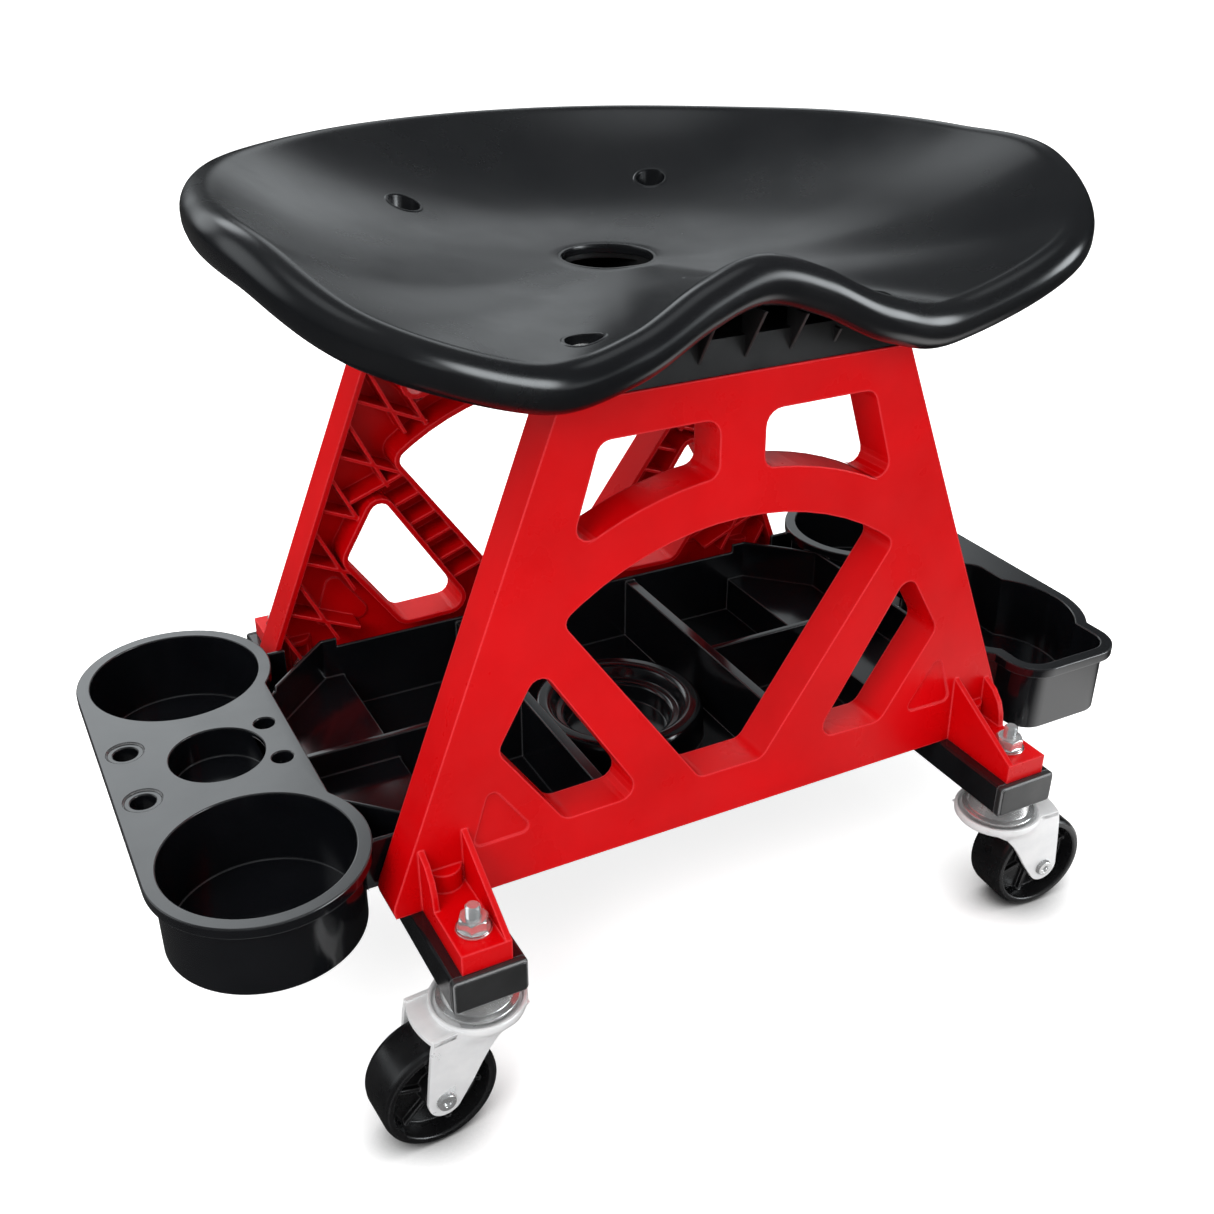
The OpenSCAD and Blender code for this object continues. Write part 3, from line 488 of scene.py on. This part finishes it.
def sheet(rows, side_of):
    """Closed plate from a grid of (x, z) rows: outside at side_of(x, z), inside one thickness in."""
    n, m = len(rows), len(rows[0])
    outer = [(x, side_of(x, z), z) for row in rows for x, z in row]
    inner = [(x, math.copysign(abs(y) - EAR_T, y), z) for x, y, z in outer]
    faces = []
    for i in range(n - 1):
        for j in range(m - 1):
            a = (i * m + j, i * m + j + 1, (i + 1) * m + j + 1, (i + 1) * m + j)
            faces += [a, tuple(k + n * m for k in reversed(a))]
    edge = ([j for j in range(m)] + [i * m + m - 1 for i in range(1, n)]
            + [(n - 1) * m + j for j in range(m - 2, -1, -1)] + [i * m for i in range(n - 2, 0, -1)])
    for a, b in zip(edge, edge[1:] + edge[:1]):
        faces.append((b, a, a + n * m, b + n * m))
    return outer + inner, faces


def turned(profile, count=64):
    """Closed ring from a closed profile of radius and height."""
    points = [(r * math.cos(2 * math.pi * i / count), r * math.sin(2 * math.pi * i / count), z)
              for i in range(count) for r, z in profile]
    m = len(profile)
    faces = [(i * m + j, (i + 1) % count * m + j, (i + 1) % count * m + (j + 1) % m, i * m + (j + 1) % m)
             for i in range(count) for j in range(m)]
    return points, faces


def rear_plate():
    """Flat behind the crown, its rear edge a shallow outward arc between the ears."""
    top, bottom, steps = 72.6, 70, 16
    ring = [(36 - 3.4 * (y / EAR_Y)**2, y) for y in [EAR_Y * (2 * i / steps - 1) for i in range(steps + 1)]]
    ring += [(16, EAR_Y), (16, -EAR_Y)]
    n = len(ring)
    points = [(x, y, z) for z in (top, bottom) for x, y in ring]
    faces = [tuple(range(n)), tuple(range(2 * n - 1, n - 1, -1))]
    faces += [(i, i + n, (i + 1) % n + n, (i + 1) % n) for i in range(n)]
    return points, faces


def build_fork(corner):
    """Crown, two ears and rear plate of one fork, turned from the swivel axis towards its wheel."""
    node = "fork_" + corner
    low, high = AXLE[1] - AXLE_R + 0.05, EAR_FRONT[0][0]
    steps, across = 44, 20
    heights = [high + (low - high) * (1 - (1 - i / steps)**1.4) for i in range(steps + 1)]
    rows = []
    for z in heights:
        front, rear = along(EAR_FRONT, z), along(EAR_REAR, z)
        rows.append([(front + (rear - front) * j / across, z) for j in range(across + 1)])
    ears = [sheet(rows, ear_skin), sheet(rows, lambda x, z: -ear_skin(x, z))]
    obj = joined(node + "_pressing", ears + [turned(CROWN), rear_plate()])
    swivel = Vector(JOINTS["swivel_turn_" + corner]["pos_m"])
    wheel = Vector(JOINTS["wheel_spin_" + corner]["pos_m"])
    turn = math.atan2(wheel.y - swivel.y, wheel.x - swivel.x)
    obj.data.transform(Matrix.Translation((swivel.x, swivel.y, 0)) @ Matrix.Rotation(turn, 4, "Z"))
    bevel = obj.modifiers.new("bevel", "BEVEL")
    bevel.width = 0.6 * MM
    bevel.segments = 3
    bevel.limit_method = "ANGLE"
    bevel.angle_limit = math.radians(45)
    bevel.use_clamp_overlap = True
    bake(obj)
    smooth(obj, 40)
    dress(obj, "zinc_fork")
    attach(obj, "swivel_" + corner)
    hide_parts(node)


for corner in CORNERS:
    build_fork(corner)


# ---------- floor, light and camera ----------

# surroundings as glossy surfaces see them: azimuth, elevation, inner and outer half-angle, strength
GLOWS = [(0, 90, 20, 105, 0.16), (0, 86, 6, 20, 0.9), (32, 20, 6, 18, 0.8), (4, 34, 3, 14, 2.6),
         (-12, 16, 5, 18, 1.0), (-60, 30, 8, 30, 1.2), (130, 12, 8, 21, 10.0), (162, 6, 4, 14, 1.0)]
GLOW_TINT = (0.92, 0.97, 1)
AMBIENT = 0.85

FLOOR_SIZE = 14
FLOOR_DROP = 0.2 * MM
# painted pool of light: glowing patch of floor that only reflections see: centre, inner and outer radius, strength
POOL = ((0.36, -0.27, 0), 0.06, 0.2, 1.6)
# painted contact shadow: how far it reaches, and the openness at which it is full and gone
CONTACT = (0.07, 0.3, 0.95)
FLOOR_FILL = 0.7


def build_floor():
    """Pale floor with a painted contact shadow that darkens it close to the wheels; painted dim in reflections, but
    for a glowing pool.
    """
    bpy.ops.mesh.primitive_plane_add(size=FLOOR_SIZE, location=(0, 0, -FLOOR_DROP))
    floor = bpy.context.object
    floor.name = "stage_floor"
    m = Mat("pale_floor")
    path = m.add("ShaderNodeLightPath")
    place = m.add("ShaderNodeNewGeometry")
    spot = m.add("ShaderNodeVectorMath", operation="DISTANCE")
    m.link(place.outputs["Position"], spot.inputs[0])
    # painted pool of light: the floor glows for glossy rays only, around this centre
    centre, pool_in, pool_out, strength = POOL
    spot.inputs[1].default_value = centre
    pool = m.add("ShaderNodeMath", operation="MULTIPLY")
    m.link(m.map(spot.outputs["Value"], strength, 0.0, pool_in, pool_out), pool.inputs[0])
    m.link(path.outputs["Is Glossy Ray"], pool.inputs[1])
    # painted contact shadow: ambient occlusion darkens the floor colour and dims its glow near the wheels
    near = m.add("ShaderNodeAmbientOcclusion", samples=12)
    near.inputs["Distance"].default_value = CONTACT[0]
    open_air = m.map(near.outputs["AO"], 0.0, 1.0, CONTACT[1], CONTACT[2])
    fill = m.add("ShaderNodeMath", operation="MULTIPLY")
    m.link(m.map(path.outputs["Is Camera Ray"], 0, FLOOR_FILL, 0, 1), fill.inputs[0])
    m.link(open_air, fill.inputs[1])
    glow = m.add("ShaderNodeMath", operation="ADD")
    m.link(pool.outputs[0], glow.inputs[0])
    m.link(fill.outputs[0], glow.inputs[1])
    pale = m.mix(open_air, (0.1, 0.1, 0.1), (0.86, 0.86, 0.86))
    # painted reflection: glossy rays see the floor near black, so undersides of glossy parts show painted shade
    m.set(Base_Color=m.mix(path.outputs["Is Glossy Ray"], pale, (0.05, 0.05, 0.05)), Roughness=0.75,
          Specular_IOR_Level=0.0, Emission_Color=(1.0, 1.0, 1.0), Emission_Strength=glow.outputs[0])
    floor.data.materials.append(m.mat)


def build_world():
    """White to the camera, even light to rough surfaces, soft glows to glossy ones."""
    world = bpy.data.worlds.new("studio")
    bpy.context.scene.world = world
    world.use_nodes = True
    world.cycles.sampling_method = "NONE"
    tree = world.node_tree
    tree.nodes.clear()
    out = tree.nodes.new("ShaderNodeOutputWorld")
    path = tree.nodes.new("ShaderNodeLightPath")
    coords = tree.nodes.new("ShaderNodeTexCoord")

    def background(strength, tint=(1, 1, 1)):
        node = tree.nodes.new("ShaderNodeBackground")
        node.inputs["Color"].default_value = (*tint, 1)
        if isinstance(strength, float):
            node.inputs["Strength"].default_value = strength
        else:
            tree.links.new(strength, node.inputs["Strength"])
        return node.outputs[0]

    def choose(factor, a, b):
        node = tree.nodes.new("ShaderNodeMixShader")
        tree.links.new(factor, node.inputs[0])
        tree.links.new(a, node.inputs[1])
        tree.links.new(b, node.inputs[2])
        return node.outputs[0]

    def glow(azimuth, elevation, inner, outer, strength):
        """Soft round patch of light in the reflected surroundings; azimuth from +Y towards +X."""
        a, e = math.radians(azimuth), math.radians(elevation)
        dot = tree.nodes.new("ShaderNodeVectorMath")
        dot.operation = "DOT_PRODUCT"
        dot.inputs[1].default_value = (math.sin(a) * math.cos(e), math.cos(a) * math.cos(e), math.sin(e))
        tree.links.new(coords.outputs["Generated"], dot.inputs[0])
        node = tree.nodes.new("ShaderNodeMapRange")
        node.interpolation_type = "SMOOTHSTEP"
        node.inputs["From Min"].default_value = math.cos(math.radians(outer))
        node.inputs["From Max"].default_value = math.cos(math.radians(inner))
        node.inputs["To Max"].default_value = strength
        tree.links.new(dot.outputs["Value"], node.inputs["Value"])
        return node.outputs[0]

    total = None
    for patch in GLOWS:
        value = glow(*patch)
        if total:
            node = tree.nodes.new("ShaderNodeMath")
            tree.links.new(total, node.inputs[0])
            tree.links.new(value, node.inputs[1])
            value = node.outputs[0]
        total = value
    seen = choose(path.outputs["Is Glossy Ray"], background(AMBIENT), background(total, GLOW_TINT))
    tree.links.new(choose(path.outputs["Is Camera Ray"], seen, background(1.0)), out.inputs["Surface"])


# name, place, width, height and power of each lamp, all aimed at the middle of the stool
LAMPS = [("key", (-1.3, -0.9, 1.5), 0.9, 0.9, 16), ("back", (0.6, 1.6, 1.5), 1.4, 0.8, 18),
         ("top", (0.1, 0.0, 2.0), 1.2, 1.2, 10)]
MIDDLE = Vector((0, 0, 0.25))


def build_lamps():
    for name, place, width, height, power in LAMPS:
        light = bpy.data.lights.new(name, "AREA")
        light.shape = "RECTANGLE"
        light.size = width
        light.size_y = height
        light.energy = power
        obj = bpy.data.objects.new(name, light)
        bpy.context.scene.collection.objects.link(obj)
        obj.location = place
        obj.rotation_euler = (MIDDLE - Vector(place)).to_track_quat("-Z", "Y").to_euler()
        obj.visible_glossy = False


# camera: place, then yaw from +Y towards +X, pitch and roll in degrees, and lens on a 36 mm sensor
EYE = (-0.35305, -0.65387, 0.57682)
AIM = (27.81, -28.59, 0.36)
LENS = 40.47


def build_camera():
    camera = bpy.data.objects.new("camera", bpy.data.cameras.new("camera"))
    bpy.context.scene.collection.objects.link(camera)
    yaw, pitch, roll = (math.radians(angle) for angle in AIM)
    forward = Vector((math.sin(yaw) * math.cos(pitch), math.cos(yaw) * math.cos(pitch), math.sin(pitch)))
    right = Vector((math.cos(yaw), -math.sin(yaw), 0))
    up = right.cross(forward)
    right, up = right * math.cos(roll) + up * math.sin(roll), up * math.cos(roll) - right * math.sin(roll)
    camera.matrix_world = Matrix((right, up, -forward)).transposed().to_4x4()
    camera.location = EYE
    camera.data.sensor_width = 36
    camera.data.lens = LENS
    camera.data.clip_start = 0.01
    bpy.context.scene.camera = camera
    bpy.context.scene.view_settings.view_transform = "Standard"


build_floor()
build_world()
build_lamps()
build_camera()
